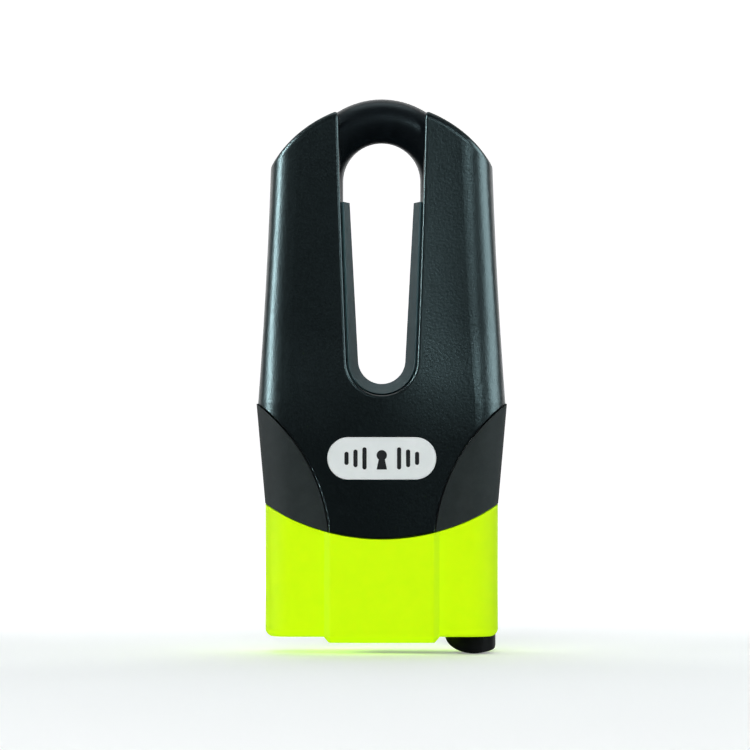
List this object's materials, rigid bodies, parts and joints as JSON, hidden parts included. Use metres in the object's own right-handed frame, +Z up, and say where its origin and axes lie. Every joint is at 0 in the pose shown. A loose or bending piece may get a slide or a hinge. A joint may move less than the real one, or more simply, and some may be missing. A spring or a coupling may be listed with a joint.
{
  "type": "disc brake lock",
  "caption": "U-shackle lock for a motorcycle brake disc, with a two-horned shell, a keyed cylinder and a swivelling keyhole cover.",
  "frame": {"origin": "bottom centre of the whole lock's bounding box, at the thumb tab's lowest point", "axes": "+X to the right seen from the badge side, -Y towards the badge, +Z up along the shackle's legs"},
  "size_m": [0.0728, 0.0392, 0.1614],
  "materials": {
    "shell_black": "fine satin texture",
    "liner_black": "smooth satin",
    "panel_grey": "soft-touch matt",
    "casing_fluorescent": "fluorescent satin",
    "badge_silver": "satin silver",
    "badge_dark": "satin",
    "body_steel": "milled",
    "cylinder_brass": "machined",
    "hard_steel": "ground",
    "spring_steel": "drawn wire",
    "shackle_coated": "satin black coating",
    "plunger_black": "moulded",
    "screw_zinc": "blackened",
    "cover_black": "fine satin texture"
  },
  "bodies": {
    "lock": {"front_cover": "shell_black", "rear_cover": "shell_black", "slot_liner": "liner_black", "left_side_panel": "panel_grey", "right_side_panel": "panel_grey", "lower_casing": "casing_fluorescent", "badge_plate": "badge_silver", "badge_symbol": "badge_dark", "lock_body": "body_steel", "left_bore_plug": "body_steel", "right_bore_plug": "body_steel", "cylinder_housing": "cylinder_brass", "cylinder_retaining_pin": "hard_steel", "left_ejector_spring": "spring_steel", "right_ejector_spring": "spring_steel", "cover_screws": "screw_zinc", "casing_screws": "screw_zinc", "cover_pivot_pin": "hard_steel"},
    "shackle": {"shackle": "shackle_coated"},
    "key_cylinder": {"cylinder_plug": "cylinder_brass", "drill_shield": "hard_steel", "detainer_discs": "cylinder_brass", "spacer_discs": "hard_steel", "sidebar": "hard_steel", "locking_cam": "hard_steel", "cam_circlip": "hard_steel"},
    "left_bolt": {"left_bolt": "hard_steel"},
    "right_bolt": {"right_bolt": "hard_steel"},
    "left_plunger": {"left_plunger": "plunger_black"},
    "right_plunger": {"right_plunger": "plunger_black"},
    "keyhole_cover": {"keyhole_cover": "cover_black"}
  },
  "joints": [
    {"name": "shackle_slide", "type": "slide", "parent": "lock", "child": "shackle", "axis": [0, 0, 1], "range_m": [0, 0.128]},
    {"name": "key_turn", "type": "hinge", "parent": "lock", "child": "key_cylinder", "pos_m": [0, 0, 0.03], "axis": [0, 0, 1], "range_deg": [0, 90]},
    {"name": "left_bolt_throw", "type": "slide", "parent": "lock", "child": "left_bolt", "axis": [-1, 0, 0], "range_m": [0, 0.00312]},
    {"name": "right_bolt_throw", "type": "slide", "parent": "lock", "child": "right_bolt", "axis": [1, 0, 0], "range_m": [0, 0.00312]},
    {"name": "left_plunger_push", "type": "slide", "parent": "lock", "child": "left_plunger", "axis": [0, 0, 1], "range_m": [0, 0.00513], "deforming": ["left_ejector_spring"]},
    {"name": "right_plunger_push", "type": "slide", "parent": "lock", "child": "right_plunger", "axis": [0, 0, 1], "range_m": [0, 0.00513], "deforming": ["right_ejector_spring"]},
    {"name": "keyhole_cover_swivel", "type": "hinge", "parent": "lock", "child": "keyhole_cover", "pos_m": [0.0259, -0.006, 0.0064], "axis": [0, 0, -1], "range_deg": [0, 27]}
  ],
  "couplings": [
    {"joint": "left_bolt_throw", "follows": "key_turn", "m_per_rad": 0.0019735},
    {"joint": "right_bolt_throw", "follows": "key_turn", "m_per_rad": 0.0019735},
    {"joint": "left_plunger_push", "follows": "shackle_slide", "ratio": 0.04},
    {"joint": "right_plunger_push", "follows": "shackle_slide", "ratio": 0.04}
  ]
}
